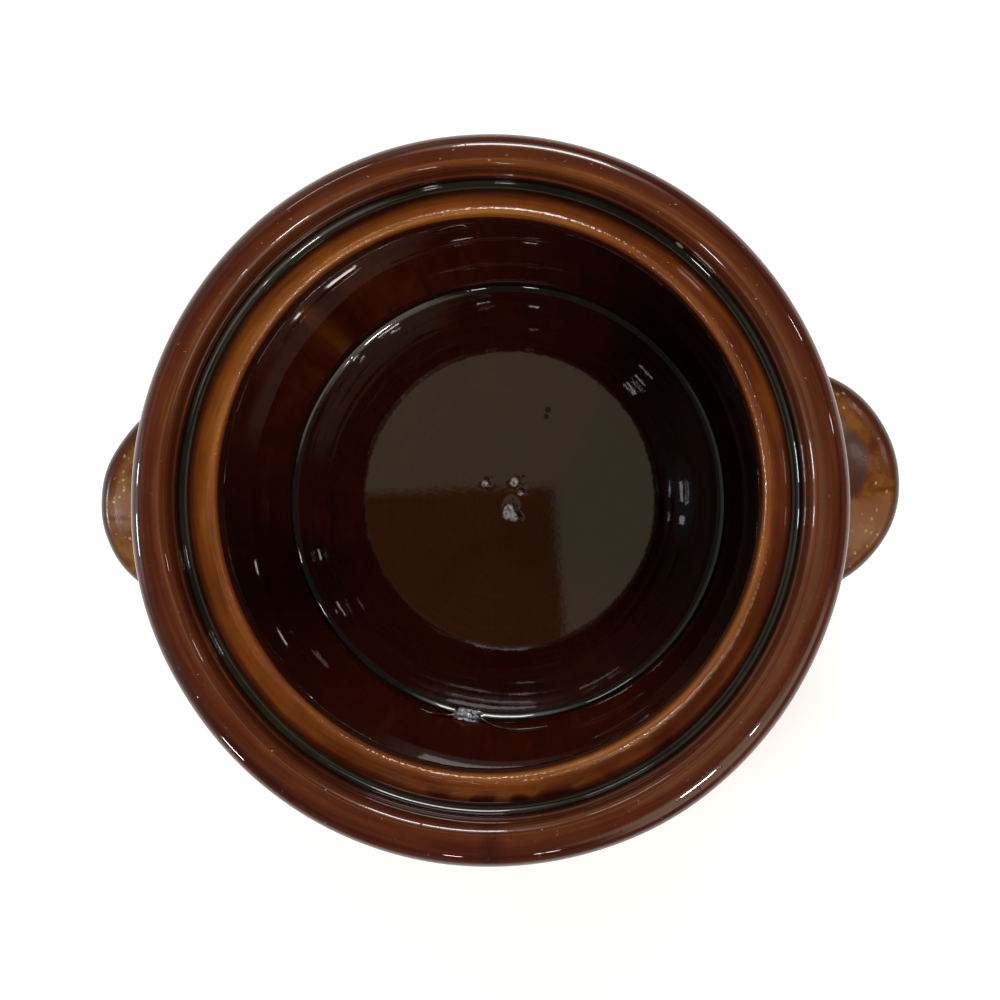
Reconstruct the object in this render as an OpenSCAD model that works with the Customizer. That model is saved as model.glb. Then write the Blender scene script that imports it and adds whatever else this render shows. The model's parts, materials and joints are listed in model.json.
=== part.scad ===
// Stoneware bean pot with a seat for a lid and two solid half-round lugs.
// Sizes are in millimetres, +Z is up and the lugs point along X.
// The origin is the centre of the base, on the surface that the pot stands on.

/* [Body] */
// Height from the base to the top of the lip
pot_h = 133; // [127:1:145]
// Diameter at the widest part of the belly
belly_d = 201; // [192:1:216]
// Height of the widest part of the belly above the base
belly_z = 59; // [50:1:66]
// Diameter of the base
base_d = 160; // [152:1:172]
// Diameter of the neck under the lip
neck_d = 168; // [163:1:172]
// Thickness of the wall at the belly
wall_t = 8; // [6:0.5:10]

/* [Floor and foot] */
// Diameter of the inside floor at its corner
floor_d = 154; // [144:1:158]
// Height of the inside floor above the base
floor_h = 9; // [7:0.5:12]
// Width of the foot ring that the pot stands on
foot_w = 9; // [6:0.5:14]
// Depth of the hollow inside the foot ring
foot_h = 2.5; // [1:0.5:4]
// Slope of the hollow's edge, measured across
foot_slope = 1.5; // [0.5:0.5:3]

/* [Mouth and lid seat] */
// Inside diameter of the mouth
mouth_d = 140; // [134:1:146]
// Height of the straight wall inside the mouth
mouth_h = 6; // [4:0.5:7]
// Rounding of the ledge's crest at the mouth
crest_round = 2.5; // [1.5:0.25:3]
// Width of the ledge from the mouth to the channel
ledge_w = 5; // [4.4:0.2:6.4]
// Fall of the ledge from its crest to the channel
ledge_fall = 1.6; // [1:0.1:2.2]
// Width of the round-bottomed channel behind the ledge
channel_w = 5.4; // [4.6:0.2:6]
// Depth of the channel below the crest
channel_h = 3.5; // [2.9:0.2:4.3]

/* [Lip] */
// Height of the lip above the ledge's crest
lip_rise = 7; // [5.5:0.5:9]
// Width of the lip from the channel to its outer edge
lip_w = 10.8; // [10.2:0.1:12]
// Rounding of the lip's outer edge
lip_outer_round = 4.6; // [3:0.2:5]
// Rounding of the lip's inner edge
lip_inner_round = 3; // [2:0.2:3.4]
// Lean of the lip's inner face away from the channel
lip_lean = 1.9; // [1.2:0.1:2.2]
// Height of the rolled collar that the lip is the top of
collar_h = 15; // [12:0.5:18]
// Taper of the collar's outer face towards its lower edge
collar_taper = 1.5; // [0.5:0.25:2.5]
// Rounding of the collar's lower edge
collar_round = 3.5; // [2.5:0.25:4.5]
// Height of the slope from the neck out to the collar
collar_rise = 4; // [3:0.5:6]

/* [Lugs] */
// Distance that the tip of a lug stands out past the belly
lug_proud = 18.5; // [13:0.5:25]
// Diameter of the lug's round outline
lug_d = 70; // [62:1:78]
// Thickness of a lug at the centre of its outline
lug_t = 20; // [16:0.5:24]
// Thickness of a lug at its rounded edge
lug_edge_t = 10; // [8:0.5:13]
// Height of a lug's middle above the base
lug_z = 78; // [70:1:84]
// Distance that both lugs sit behind the pot's centre line
lug_offset = 2; // [0:0.5:6]

/* [Slip and pooled glaze] */
// Thickness of the slip bed between a lug and the wall
slip_t = 1; // [0.6:0.1:1.6]
// Width of the slip bead around a lug
slip_bead = 2.5; // [1.5:0.25:4]
// Depth of the glaze in the channel
gallery_pool_h = 1.2; // [0.8:0.1:1.6]
// Width of the glaze on the floor, from the corner inwards
floor_pool_w = 2.7; // [2:0.1:4]
// Height of the glaze up the wall from the floor
floor_pool_h = 4; // [3:0.25:5]

/* [Hidden] */
// Facets of a circle, and of the long arcs of the belly
$fn = 128;
belly_fn = 512;

belly_r = belly_d / 2;
base_r = base_d / 2;
neck_r = neck_d / 2;
floor_r = floor_d / 2;
mouth_r = mouth_d / 2;
cavity_r = belly_r - wall_t;

// Heights of the rim, from the lip down to the neck
crest_z = pot_h - lip_rise;
throat_z = crest_z - crest_round - mouth_h;
collar_z = pot_h - collar_h;
neck_z = collar_z - collar_rise;

// The channel is a round groove: its centre, its radius and its outer edge
channel_r = channel_w / 2;
channel_out_r = mouth_r + ledge_w + channel_w;
channel_mid_r = channel_out_r - channel_r;
channel_z = crest_z - channel_h + channel_r;

// Centres of the rounded edges of the lip and collar
lip_r = channel_out_r + lip_w;
lip_outer = [lip_r - lip_outer_round, pot_h - lip_outer_round];
lip_inner = [channel_out_r + lip_lean + lip_inner_round, pot_h - lip_inner_round];
collar_low = [lip_r - collar_taper - collar_round, collar_z + collar_round];
crest = [mouth_r + crest_round, crest_z - crest_round];

lug_r = lug_d / 2;
lug_edge_r = lug_edge_t / 2;
lug_centre = belly_r + lug_proud - lug_r;

// Sides of a lug: the right one points along +X
LEFT = -1;
RIGHT = 1;

glaze_brown = [0.27, 0.11, 0.05];
glaze_amber = [0.52, 0.30, 0.11];
glaze_dark = [0.05, 0.07, 0.06];
slip_brown = [0.33, 0.17, 0.08];

// Radius of the arc that starts upright and moves in by inset over rise
function arc_radius(rise, inset) = (rise * rise + inset * inset) / (2 * inset);

// Radius of the cavity's lower wall at height z
function cavity_low_r(z) =
    let (arc = arc_radius(belly_z - floor_h, cavity_r - floor_r))
    cavity_r - arc + sqrt(arc * arc - (belly_z - z) * (belly_z - z));

// Half section of one side of the belly, between its widest height and the height z_end
module belly_half(r_wide, r_end, z_end, grow) {
    arc = arc_radius(abs(z_end - belly_z), r_wide - r_end);
    intersection() {
        translate([0, min(z_end, belly_z)])
            square([2 * r_wide, abs(z_end - belly_z)]);
        translate([r_wide - arc, belly_z])
            circle(arc + grow, $fn = belly_fn);
    }
}

// Half section of the round belly's outside, moved outwards by grow
module outside_section(grow = 0) {
    belly_half(belly_r, base_r, 0, grow);
    belly_half(belly_r, neck_r, neck_z, grow);
}

// Half section of the space inside the belly
module cavity_section() {
    belly_half(cavity_r, floor_r, floor_h, 0);
    belly_half(cavity_r, mouth_r, throat_z, 0);
}

module channel_circle() {
    translate([channel_mid_r, channel_z])
        circle(channel_r);
}

// Half section of the collar, lip and ledge, before the channel is cut
module rim_section() {
    polygon([
        [mouth_r, neck_z],
        [neck_r, neck_z],
        [collar_low.x, collar_z],
        [collar_low.x + collar_round, collar_low.y],
        [lip_r, lip_outer.y],
        [lip_outer.x, pot_h],
        [lip_inner.x, pot_h],
        [lip_inner.x - lip_inner_round, lip_inner.y],
        [channel_out_r, channel_z],
        [channel_mid_r, channel_z],
        [channel_out_r - channel_w, crest_z - ledge_fall],
        [crest.x, crest_z],
        [mouth_r, crest.y]
    ]);
    translate(collar_low)
        circle(collar_round);
    translate(lip_outer)
        circle(lip_outer_round);
    translate(lip_inner)
        circle(lip_inner_round);
    translate(crest)
        circle(crest_round);
}

// Half section of the hollow inside the foot ring
module foot_hollow_section() {
    hollow_r = base_r - foot_w;
    polygon([[0, 0], [hollow_r, 0], [hollow_r - foot_slope, foot_h], [0, foot_h]]);
}

module pot_body() {
    color(glaze_brown)
        rotate_extrude()
            difference() {
                union() {
                    outside_section();
                    rim_section();
                }
                cavity_section();
                channel_circle();
                foot_hollow_section();
            }
}

// Glaze that ran together in the bottom of the channel
module gallery_glaze_pool() {
    color(glaze_dark)
        rotate_extrude()
            intersection() {
                channel_circle();
                translate([channel_mid_r - channel_w, channel_z - channel_r])
                    square([2 * channel_w, gallery_pool_h]);
            }
}

// Glaze that ran together in the corner between wall and floor
module floor_glaze_pool() {
    top_z = floor_h + floor_pool_h;
    color(glaze_dark)
        rotate_extrude()
            intersection() {
                cavity_section();
                polygon([
                    [floor_r - floor_pool_w, floor_h],
                    [cavity_r, floor_h],
                    [cavity_r, top_z],
                    [cavity_low_r(top_z), top_z]
                ]);
            }
}

// A lug's full round shape in its place, thickened all round by grow
module lug_disc(side, grow = 0) {
    translate([side * lug_centre, lug_offset, lug_z])
        rotate_extrude() {
            polygon([
                [0, -lug_t / 2 - grow],
                [lug_r - lug_edge_r, -lug_edge_r - grow],
                [lug_r - lug_edge_r, lug_edge_r + grow],
                [0, lug_t / 2 + grow]
            ]);
            translate([lug_r - lug_edge_r, 0])
                circle(lug_edge_r + grow);
        }
}

module belly_solid(grow = 0) {
    rotate_extrude()
        outside_section(grow);
}

// The part of a lug's round shape that stands out from the slip on the wall
module lug(side) {
    color(glaze_amber)
        difference() {
            lug_disc(side);
            belly_solid(slip_t);
        }
}

// The bed of slip under a lug, with its bead around the lug's root
module slip_joint(side) {
    color(slip_brown)
        difference() {
            intersection() {
                lug_disc(side, slip_bead);
                belly_solid(slip_t);
            }
            belly_solid();
        }
}

module left_slip_joint() {
    slip_joint(LEFT);
}

module right_slip_joint() {
    slip_joint(RIGHT);
}

module left_lug() {
    lug(LEFT);
}

module right_lug() {
    lug(RIGHT);
}

pot_body();
gallery_glaze_pool();
floor_glaze_pool();
left_slip_joint();
right_slip_joint();
left_lug();
right_lug();
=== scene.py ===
# %% [markdown]
# # A glazed stoneware bean pot
#
# This lesson dresses a round stoneware pot: a thrown body with a rolled lip, a ledge and channel that seat a
# lid, two pooled rings of dark glaze, and two solid lugs on beads of slip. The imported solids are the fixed
# frame. Every piece below is modelled over one of them, in metres, at the same place.

# %% Load the fixed frame
import json
import math

import bpy
from mathutils import Matrix, Vector, kdtree, noise

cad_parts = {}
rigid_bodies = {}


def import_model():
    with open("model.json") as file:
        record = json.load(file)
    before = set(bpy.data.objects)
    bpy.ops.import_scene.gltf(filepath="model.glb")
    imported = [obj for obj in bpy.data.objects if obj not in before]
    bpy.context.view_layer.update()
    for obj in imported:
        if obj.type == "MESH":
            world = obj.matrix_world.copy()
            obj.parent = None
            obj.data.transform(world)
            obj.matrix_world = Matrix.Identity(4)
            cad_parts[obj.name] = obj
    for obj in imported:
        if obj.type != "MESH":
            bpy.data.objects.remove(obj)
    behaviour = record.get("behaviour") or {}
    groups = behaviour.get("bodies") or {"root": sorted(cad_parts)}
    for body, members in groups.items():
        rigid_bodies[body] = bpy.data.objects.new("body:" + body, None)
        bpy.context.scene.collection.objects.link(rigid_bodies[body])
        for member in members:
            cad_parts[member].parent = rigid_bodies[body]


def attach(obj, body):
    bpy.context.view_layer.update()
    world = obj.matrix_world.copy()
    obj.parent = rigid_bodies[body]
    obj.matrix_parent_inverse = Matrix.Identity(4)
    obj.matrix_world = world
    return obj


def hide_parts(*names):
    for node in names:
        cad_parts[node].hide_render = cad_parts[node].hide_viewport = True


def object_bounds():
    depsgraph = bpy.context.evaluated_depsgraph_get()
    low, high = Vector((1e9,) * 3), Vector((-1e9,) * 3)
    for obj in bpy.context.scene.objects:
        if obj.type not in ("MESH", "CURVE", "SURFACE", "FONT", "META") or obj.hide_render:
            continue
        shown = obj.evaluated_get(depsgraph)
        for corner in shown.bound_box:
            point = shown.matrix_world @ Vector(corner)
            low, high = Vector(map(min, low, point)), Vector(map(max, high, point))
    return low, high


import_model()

MM = 0.001
cad_low, cad_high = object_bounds()
bpy.ops.object.select_all(action="DESELECT")
print("CAD box in mm:", [round(side / MM, 1) for side in cad_high - cad_low])

# %% [markdown]
# ## Camera
#
# The picture looks almost straight down into the pot from about 27 cm above the rim. A camera that looks down
# has no natural up, so its sideways axis is given instead: a small roll away from +X. Z of a camera points
# backwards, away from what it sees.

# %% Camera above the mouth
CAMERA_PLACE = Vector((16.2, -6.2, 400.9)) * MM
CAMERA_AIM = Vector((3.6, -0.65, 126.0)) * MM
CAMERA_ROLL = math.radians(-2.2)
FOCAL_LENGTH = 38.9

camera_data = bpy.data.cameras.new("camera")
camera_data.lens = FOCAL_LENGTH
camera_data.clip_start = 0.01
camera = bpy.data.objects.new("camera", camera_data)
bpy.context.scene.collection.objects.link(camera)
bpy.context.scene.camera = camera

backwards = (CAMERA_PLACE - CAMERA_AIM).normalized()
sideways = Vector((math.cos(CAMERA_ROLL), math.sin(CAMERA_ROLL), 0))
upwards = backwards.cross(sideways).normalized()
sideways = upwards.cross(backwards)
turn = Matrix((sideways, upwards, backwards)).transposed()
camera.matrix_world = Matrix.Translation(CAMERA_PLACE) @ turn.to_4x4()
print("camera", round((CAMERA_PLACE - CAMERA_AIM).length / MM), "mm from the rim")

# %% [markdown]
# ## Drawing a round section
#
# A thrown pot is a turned shape, so each round piece starts as half of its section, drawn in the XZ plane and
# spun about Z. The pen below draws as one does by hand: a plane is merged to a single vertex, straight
# stretches are extruded from it and round stretches are spun from it. Each point also notes how thick the
# glaze lies there, and how far the potter's hand wandered, so that later steps can use both.

# %% The pen
AROUND = 216


class Pen:
    """Draws a half section in millimetres.

    Each point keeps its marks: coat, the depth of the glaze from 0 to 1; wander, how far the hand strayed in
    millimetres; runs, from 0 where glaze streaks follow the turning to 1 where they run down the wall; grit,
    how rough the glaze is; and foot, 1 where the clay may be bare.
    """

    def __init__(self, name, r, z, **marks):
        bpy.ops.object.select_all(action="DESELECT")
        bpy.ops.mesh.primitive_plane_add(size=MM, location=(0, 0, 0))
        self.piece = bpy.context.object
        self.piece.name = name
        self.piece.data.name = name
        bpy.ops.object.mode_set(mode="EDIT")
        bpy.ops.mesh.select_mode(type="VERT")
        bpy.ops.mesh.select_all(action="SELECT")
        bpy.ops.mesh.merge(type="CENTER")
        bpy.ops.transform.translate(value=(r * MM, 0, z * MM))
        self.points = [(r, z, {"coat": 0.5, "wander": 0.0, "runs": 0.0, "grit": 0.0, "foot": 0.0, **marks})]

    def note(self, start, r, z, share, marks):
        """Keeps a point, part of the way from the stretch's start to its end."""
        old = start[2]
        new = {mark: value + share * (marks.get(mark, value) - value) for mark, value in old.items()}
        self.points.append((r, z, new))

    def line(self, r, z, steps=1, **marks):
        start = self.points[-1]
        step_r = (r - start[0]) / steps
        step_z = (z - start[1]) / steps
        for i in range(1, steps + 1):
            move = {"value": (step_r * MM, 0, step_z * MM)}
            bpy.ops.mesh.extrude_region_move(TRANSFORM_OT_translate=move)
            self.note(start, start[0] + i * step_r, start[1] + i * step_z, i / steps, marks)

    def arc(self, centre, degrees, steps, **marks):
        """Turns about centre; positive degrees run anticlockwise with R to the right and Z up."""
        start = self.points[-1]
        pivot = (centre[0] * MM, 0, centre[1] * MM)
        bpy.ops.mesh.spin(steps=steps, angle=math.radians(degrees), center=pivot, axis=(0, 1, 0))
        arm = Vector((start[0] - centre[0], start[1] - centre[1]))
        for i in range(1, steps + 1):
            angle = math.radians(degrees) * i / steps
            r = centre[0] + arm.x * math.cos(angle) - arm.y * math.sin(angle)
            z = centre[1] + arm.x * math.sin(angle) + arm.y * math.cos(angle)
            self.note(start, r, z, i / steps, marks)

    def turn(self, around=AROUND):
        """Spins the section about the pot's axis and closes it."""
        bpy.ops.mesh.select_all(action="SELECT")
        bpy.ops.mesh.spin(steps=around, angle=math.tau, center=(0, 0, 0), axis=(0, 0, 1))
        bpy.ops.mesh.select_all(action="SELECT")
        bpy.ops.mesh.remove_doubles(threshold=0.002 * MM)
        bpy.ops.mesh.normals_make_consistent(inside=False)
        bpy.ops.object.mode_set(mode="OBJECT")
        return self.piece


def angle_of(centre, point):
    return math.degrees(math.atan2(point[1] - centre[1], point[0] - centre[0]))


def arc_centre(wide, wide_z, end, end_z):
    """Centre of the arc that is upright at its widest radius and passes through its end."""
    rise, inset = end_z - wide_z, wide - end
    return (wide - (rise * rise + inset * inset) / (2 * inset), wide_z)


# %% [markdown]
# ## The thrown body
#
# The section starts at the middle of the floor, climbs the inside of the belly to the mouth, crosses the
# crest, ledge and channel, rolls over the lip and comes down the outside to the foot. The belly is four long
# arcs that are upright where the pot is widest, as in the solid. Glaze runs off edges and gathers in hollows,
# so the coat is thin on the crest and full in the channel.

# %% Section of the body
HEIGHT = cad_high.z / MM
BELLY_Z = 59
BELLY_R = 100.5
CAVITY_R = 92.5
BASE_R = 80
NECK = (84, 114)
FLOOR_R, FLOOR_Z = 78.6, 9
MOUTH_R = 70.65
THROAT_Z = 117.5
CREST_ROUND = 1.7
CREST = (MOUTH_R + CREST_ROUND, 126 - CREST_ROUND)
CHANNEL_ROUND = 1.6
CHANNEL = (79.2, 124.3)
LIP_INNER_ROUND = 2.4
LIP_INNER = (83.7, HEIGHT - LIP_INNER_ROUND)
LIP_OUTER_ROUND = 4.6
LIP_OUTER = (86.6, HEIGHT - LIP_OUTER_ROUND)
COLLAR_ROUND = 3.5
COLLAR = (86.2, 121.5)
FOOT_IN_R = 71
FOOT_HOLLOW = (69.5, 2.5)


def on_groove(degrees):
    """A place on the channel's round bottom; 270 is its lowest."""
    angle = math.radians(degrees)
    return (CHANNEL[0] + CHANNEL_ROUND * math.cos(angle), CHANNEL[1] + CHANNEL_ROUND * math.sin(angle))


lower_in = arc_centre(CAVITY_R, BELLY_Z, FLOOR_R, FLOOR_Z)
upper_in = arc_centre(CAVITY_R, BELLY_Z, MOUTH_R, THROAT_Z)
upper_out = arc_centre(BELLY_R, BELLY_Z, *NECK)
lower_out = arc_centre(BELLY_R, BELLY_Z, BASE_R, 0)
print("inside arcs of", round(CAVITY_R - lower_in[0]), "and", round(CAVITY_R - upper_in[0]), "mm")

# %% Inside of the body, from the floor to the mouth
NUB_R = 13
CORNER_RING = 0.6
SEEN_WALL = -32, -8
corner_angle = angle_of(lower_in, (FLOOR_R, FLOOR_Z))

pen = Pen("pot_body_glazed", 0, FLOOR_Z, coat=0.74, wander=0.02, runs=0.5)
pen.line(NUB_R, FLOOR_Z, 26)
pen.line(FLOOR_R - CORNER_RING, FLOOR_Z, 10)
pen.line(FLOOR_R, FLOOR_Z)
pen.arc(lower_in, SEEN_WALL[0] - corner_angle, 3, coat=0.64, wander=0.08, runs=1)
pen.arc(lower_in, SEEN_WALL[1] - SEEN_WALL[0], 112, wander=0.10)
pen.arc(lower_in, -SEEN_WALL[1], 5)
pen.arc(upper_in, angle_of(upper_in, (MOUTH_R, THROAT_Z)), 92, coat=0.74)
pen.line(MOUTH_R, CREST[1] - 1, 4, coat=0.74, wander=0.08)
pen.line(MOUTH_R, CREST[1], 2, coat=0.50)
print("inside:", len(pen.points), "points")

# %% Crest, ledge and channel
LEDGE = ((73.8, 125.45, 0.30, 0.3), (74.8, 124.95, 0.32, 0), (75.6, 124.5, 0.32, 0), (76.8, 124.0, 0.34, 0))
GROOVE_START, GROOVE_SWEEP = 235, 125

pen.arc(CREST, -14, 3, coat=0.34, grit=0.5, runs=0)
pen.arc(CREST, -50, 7, coat=0.20, grit=1)
pen.arc(CREST, -26, 3, coat=0.27, grit=0.8)
for r, z, coat, grit in LEDGE:
    pen.line(r, z, 2, coat=coat, grit=grit)
pen.line(*on_groove(GROOVE_START), 5, coat=0.58)
pen.arc(CHANNEL, GROOVE_SWEEP, 12, coat=0.95)
print("channel ends", round(pen.points[-1][0], 1), "mm from the axis")

# %% Lip, with a thin ring that the rib left on its inner face
LIP_FACE = (
    (80.82, 125.8, 1, 0.74), (80.84, 126.5, 1, 0.60), (80.88, 127.3, 2, 0.50),
    (81.26, 127.57, 3, 0.50), (81.28, 127.9, 1, 0.50),
)
LIP_ROLL = ((-10, 2, 0.54), (-8, 3, 0.74), (-10, 3, 0.54), (-62, 8, 0.62))

for r, z, steps, coat in LIP_FACE:
    pen.line(r, z, steps, coat=coat)
pen.line(LIP_INNER[0] - LIP_INNER_ROUND, LIP_INNER[1], 3, coat=0.46)
pen.arc(LIP_INNER, -90, 10, coat=0.42)
pen.line(LIP_OUTER[0], HEIGHT, 2, coat=0.54)
for degrees, steps, coat in LIP_ROLL:
    pen.arc(LIP_OUTER, degrees, steps, coat=coat)
print("lip ends", round(pen.points[-1][0], 1), "mm from the axis")

# %% Outside of the body, from the lip to the foot
pen.line(COLLAR[0] + COLLAR_ROUND, COLLAR[1], 5, coat=0.46)
pen.arc(COLLAR, -90, 7, coat=0.36)
pen.line(*NECK, 3, coat=0.8, wander=0.14, runs=0.6)
pen.arc(upper_out, -angle_of(upper_out, NECK), 24, coat=0.50, runs=1)
pen.arc(lower_out, angle_of(lower_out, (BASE_R, 0)), 24, coat=0.42, foot=1)
pen.line(FOOT_IN_R, 0, 4, wander=0.02)
pen.line(*FOOT_HOLLOW, 2)
pen.line(0, FOOT_HOLLOW[1], 6)
body_points = pen.points
body = pen.turn()
print("body:", len(body.data.vertices), "vertices,", len(body.data.polygons), "faces")

# %% [markdown]
# Corners of a thrown pot are wiped round with a wet finger and softened again by the glaze. Each sharp ring
# of edges is picked by its radius and height and bevelled.

# %% Soften the corners
SOFT_CORNERS = {
    (MOUTH_R, THROAT_Z): 2.2,
    NECK: 2.4,
    (BASE_R, 0): 1.4,
    (FOOT_IN_R, 0): 0.8,
    FOOT_HOLLOW: 0.7,
}


def ring_edges(piece, r, z):
    """Selects the ring of edges at one radius and height, in millimetres."""
    bpy.ops.object.mode_set(mode="EDIT")
    bpy.ops.mesh.select_mode(type="EDGE")
    bpy.ops.mesh.select_all(action="DESELECT")
    bpy.ops.object.mode_set(mode="OBJECT")
    near = set()
    for vertex in piece.data.vertices:
        away = math.hypot(vertex.co.xy.length / MM - r, vertex.co.z / MM - z)
        if away < 0.01:
            near.add(vertex.index)
    count = 0
    for edge in piece.data.edges:
        edge.select = edge.vertices[0] in near and edge.vertices[1] in near
        count += edge.select
    return count


for (corner_r, corner_z), softness in SOFT_CORNERS.items():
    count = ring_edges(body, corner_r, corner_z)
    bpy.ops.object.mode_set(mode="EDIT")
    bpy.ops.mesh.bevel(offset=softness * MM, segments=4, affect="EDGES")
    bpy.ops.object.mode_set(mode="OBJECT")
    print("softened a ring of", count, "edges at", round(corner_r, 1), round(corner_z, 1))

# %% [markdown]
# ## The potter's hand
#
# No thrown pot is a perfect turned shape. The wall keeps a shallow spiral from the fingers, the whole surface
# wanders by a fraction of a millimetre, and the rim leaves the kiln about one per cent out of round. On
# glossy glaze these small slopes decide where a highlight breaks, so they are pressed into the mesh and not
# left to bump.

# %% Marks of the nearest drawn point


def marks_of(piece, points):
    """For every vertex, the marks of the section's point that is nearest to it."""
    finder = kdtree.KDTree(len(points))
    for i, (r, z, marks) in enumerate(points):
        finder.insert((r, 0, z), i)
    finder.balance()
    found = []
    for vertex in piece.data.vertices:
        spot = (vertex.co.xy.length / MM, 0, vertex.co.z / MM)
        found.append(points[finder.find(spot)[1]][2])
    return found


def store(piece, name, values):
    """Keeps one number for each vertex, for a material to read."""
    layer = piece.data.attributes.new(name, "FLOAT", "POINT")
    layer.data.foreach_set("value", values)


def azimuth(place):
    """Direction from the pot's axis in degrees, from +X towards +Y."""
    return math.degrees(math.atan2(place.y, place.x))


def hump(value, middle, width):
    """A smooth hill of height 1 around middle; angles in degrees may wrap round."""
    away = (value - middle + 180) % 360 - 180
    return math.exp(-0.5 * (away / width) ** 2)


def ease(value, low, high):
    """0 below low, 1 above high and smooth between."""
    share = min(max((value - low) / (high - low), 0), 1)
    return share * share * (3 - 2 * share)


body_marks = marks_of(body, body_points)
print(len(body_marks), "vertices have marks")

# %% Finger ridges, the nub and the wander
RIDGE_WIDTH = 0.42
RIDGE_HEIGHT = 0.62
RIDGES = (
    (88, 14, 35.0), (88, 15, 19.2), (97, 4, 45.0), (-66, 7, 18.0), (-61, 6, 26.0),
    (-153, 5, 41.5), (-146, 4, 27.0), (131, 8, 43.5), (40, 6, 30.0),
)
RING_PITCH = 8.5
RING_HEIGHT = 0.34
WANDER_SIZE = 24.0
NUB_HEIGHT = 0.8
NUB_LUMPS = (
    (1.4, -1.6, 1.2), (0.9, -3.9, 1.3), (3.4, -4.8, 1.0), (3.6, 8.0, 1.2), (-6.9, 7.6, 1.0), (5.6, 3.9, 0.7),
)


def ridge_push(place):
    """The few sharp ridges between two passes of the fingers: heading, half length in degrees and height."""
    heading = azimuth(place)
    push = 0
    for middle, length, z in RIDGES:
        away = place.z - z - 0.6 * noise.noise(Vector((heading / 9, z, 0)))
        push += hump(heading, middle, length) ** 2 * math.exp(-0.5 * (away / RIDGE_WIDTH) ** 2)
    return RIDGE_HEIGHT * push


def ring_push(place):
    """The spiral of narrow ridges that the fingers left in the shoulder."""
    turns = place.z / RING_PITCH - azimuth(place) / 360 + 0.4 * noise.noise(place / 40)
    strength = max(0.5 + 1.1 * noise.noise(place / 16), 0)
    return RING_HEIGHT * strength * (0.5 + 0.5 * math.cos(math.tau * turns)) ** 8


def nub_bloom(place):
    """Where lumps of glaze froze around the middle of the floor, from 0 to 1."""
    bloom = 0
    for x, y, size in NUB_LUMPS:
        bloom += math.exp(-0.5 * ((place.x - x) ** 2 + (place.y - y) ** 2) / size ** 2)
    return min(bloom, 1)


def nub_push(place):
    return NUB_HEIGHT * nub_bloom(place) * (0.3 + noise.noise(place / 2.4) + 0.5 * noise.noise(place / 1.1))


def press_body(piece, marks):
    """Moves every vertex a little along its normal."""
    normals = [vertex.normal.copy() for vertex in piece.data.vertices]
    for vertex, normal, mark in zip(piece.data.vertices, normals, marks):
        place = vertex.co / MM
        push = mark["wander"] * noise.noise(place / WANDER_SIZE)
        facing_in = -normal.xy.dot(place.xy) / max(place.xy.length, 1)
        if facing_in > 0.5 and 13 < place.z < 60:
            push += ridge_push(place)
        if facing_in > 0.5 and 52 < place.z < 116:
            push += ring_push(place) * ease(place.z, 52, 64) * (1 - ease(place.z, 108, 116))
        if place.xy.length < NUB_R and normal.z > 0.5:
            push += nub_push(place)
        vertex.co += normal * push * MM
    piece.data.update()


press_body(body, body_marks)
print(len(RIDGES), "ridges and", len(NUB_LUMPS), "lumps pressed in")

# %% Off-centre mouth, swollen lip and tilted floor
SEAT_SHIFT = Vector((0.2, 1.1))
WALL_SHIFT = Vector((-0.15, 0.65))
LIP_SWELL = 0.2
LIP_SWELLS = ((-58, 16, 0.6), (-128, 24, 0.6), (-10, 12, 0.3), (-165, 10, 0.5))
FLOOR_SHIFT = Vector((0.8, 0.9))
FLOOR_TILT = Vector((-0.0118, 0.0142))
FLOOR_CROWN = 0.6
KILN_WARP = 0.0093


def nudge(piece, shift):
    """Moves every vertex by what shift gives for its place, both in millimetres."""
    for vertex in piece.data.vertices:
        vertex.co += shift(vertex.co / MM) * MM
    piece.data.update()


def mouth_shift(place):
    """The lid seat and the face behind it lie a little off the lip's centre, as they were trimmed."""
    r = place.xy.length
    behind = ease(r, 75.5, 79.5)
    seat = ease(place.z, 95, 118) * (1 - behind)
    wall = ease(place.z, 118, 122) * behind * (1 - ease(r, 81, 86))
    return (SEAT_SHIFT * seat + WALL_SHIFT * wall).to_3d()


def lip_swell(place):
    """The lip bulges out a little in places, as it sagged in the kiln."""
    share = ease(place.z, 112, 120) * ease(place.xy.length, 85, 90)
    bulge = LIP_SWELL + sum(size * hump(azimuth(place), middle, width) for middle, width, size in LIP_SWELLS)
    return (place.xy.normalized() * bulge * share).to_3d()


def floor_sag(place):
    """The inside floor leans and crowns a little, as it settled on the kiln shelf."""
    r = place.xy.length
    inside = ease(place.z, 6, 8.5) * (1 - ease(place.z, 14, 40)) * (1 - ease(r, 84, 88))
    crown = FLOOR_CROWN * (1 - min(r / FLOOR_R, 1) ** 2)
    return Vector((*FLOOR_SHIFT, FLOOR_TILT.dot(place.xy) + crown)) * inside


def kiln_warp(place):
    """Everything above the floor is drawn out of round, as it left the kiln."""
    return Vector((-place.x, place.y, 0)) * KILN_WARP * ease(place.z, 10, 45)


for settle in (mouth_shift, lip_swell, floor_sag, kiln_warp):
    nudge(body, settle)
bpy.ops.object.shade_smooth()
print("body is", [round(side / MM, 1) for side in body.dimensions], "mm")

# %% [markdown]
# The coat is also made uneven round the ring, and painted light and shade are added to it. The ledge is painted
# darker towards the front right and more golden towards the back left. The crest is painted lighter at the
# front right. The lip is painted darker at the front and lighter on its inner edge at the back. The wall is
# painted darker on the right and on the left and lighter at the back left. The ledge also has round blotches at
# the front, and a thin amber streak goes down the wall with a streak of painted shade beside it. These are
# added to the drawn marks, and the result is kept on the vertices for the glaze material.

# %% Coat of the body
# Painted shade and light on the ledge: how much darker it is painted towards the front right and more golden
# towards the back left, and the turn of that direction.
LEDGE_PAINTED_SHADE = 0.17
LEDGE_SHADE_TURN = 30
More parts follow.
